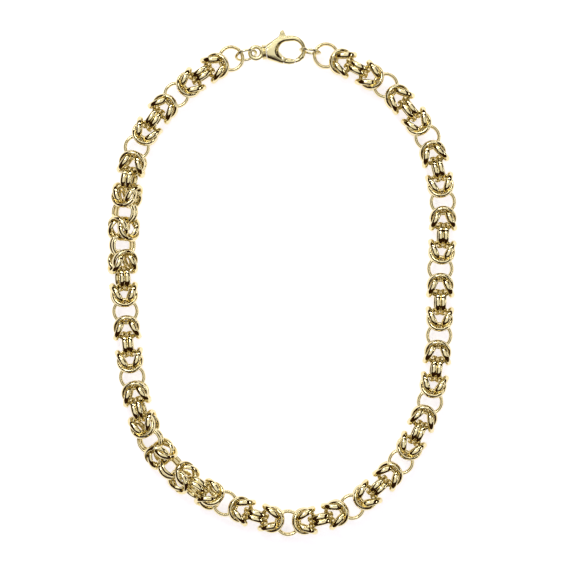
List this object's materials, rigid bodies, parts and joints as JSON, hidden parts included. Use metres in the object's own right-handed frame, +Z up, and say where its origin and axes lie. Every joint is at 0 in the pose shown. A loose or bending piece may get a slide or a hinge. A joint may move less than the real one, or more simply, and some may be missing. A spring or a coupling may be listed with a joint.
{
  "type": "byzantine chain necklace",
  "caption": "Neck chain of round rings in a byzantine weave, closed by a lobster clasp and two jump rings, laid flat in an oval.",
  "frame": {"origin": "middle of the laid oval's bounding box, on the surface that it rests on", "axes": "+Y along the oval from its lower bend towards the clasp, +X to the right as seen from above, +Z up from the surface"},
  "size_m": [0.124, 0.1798, 0.0113],
  "materials": {
    "gold": "polished yellow gold",
    "pale_gold": "polished yellow gold, slightly paler solder-filled wire"
  },
  "bodies": {
    "necklace": {"chain_left": "gold", "chain_right": "gold", "jump_ring_eye": "pale_gold", "jump_ring_claw": "pale_gold", "clasp_body": "gold", "clasp_eye": "gold", "clasp_pin": "pale_gold"},
    "lever": {"clasp_lever": "gold"}
  },
  "joints": [
    {"name": "lever_hinge", "type": "hinge", "parent": "necklace", "child": "lever", "pos_m": [0.00045, 0.0795, 0.00441], "axis": [0, 0, 1], "range_deg": [0, 28], "stiffness_Nm_per_rad": 0.002, "springref_deg": -14.32}
  ]
}
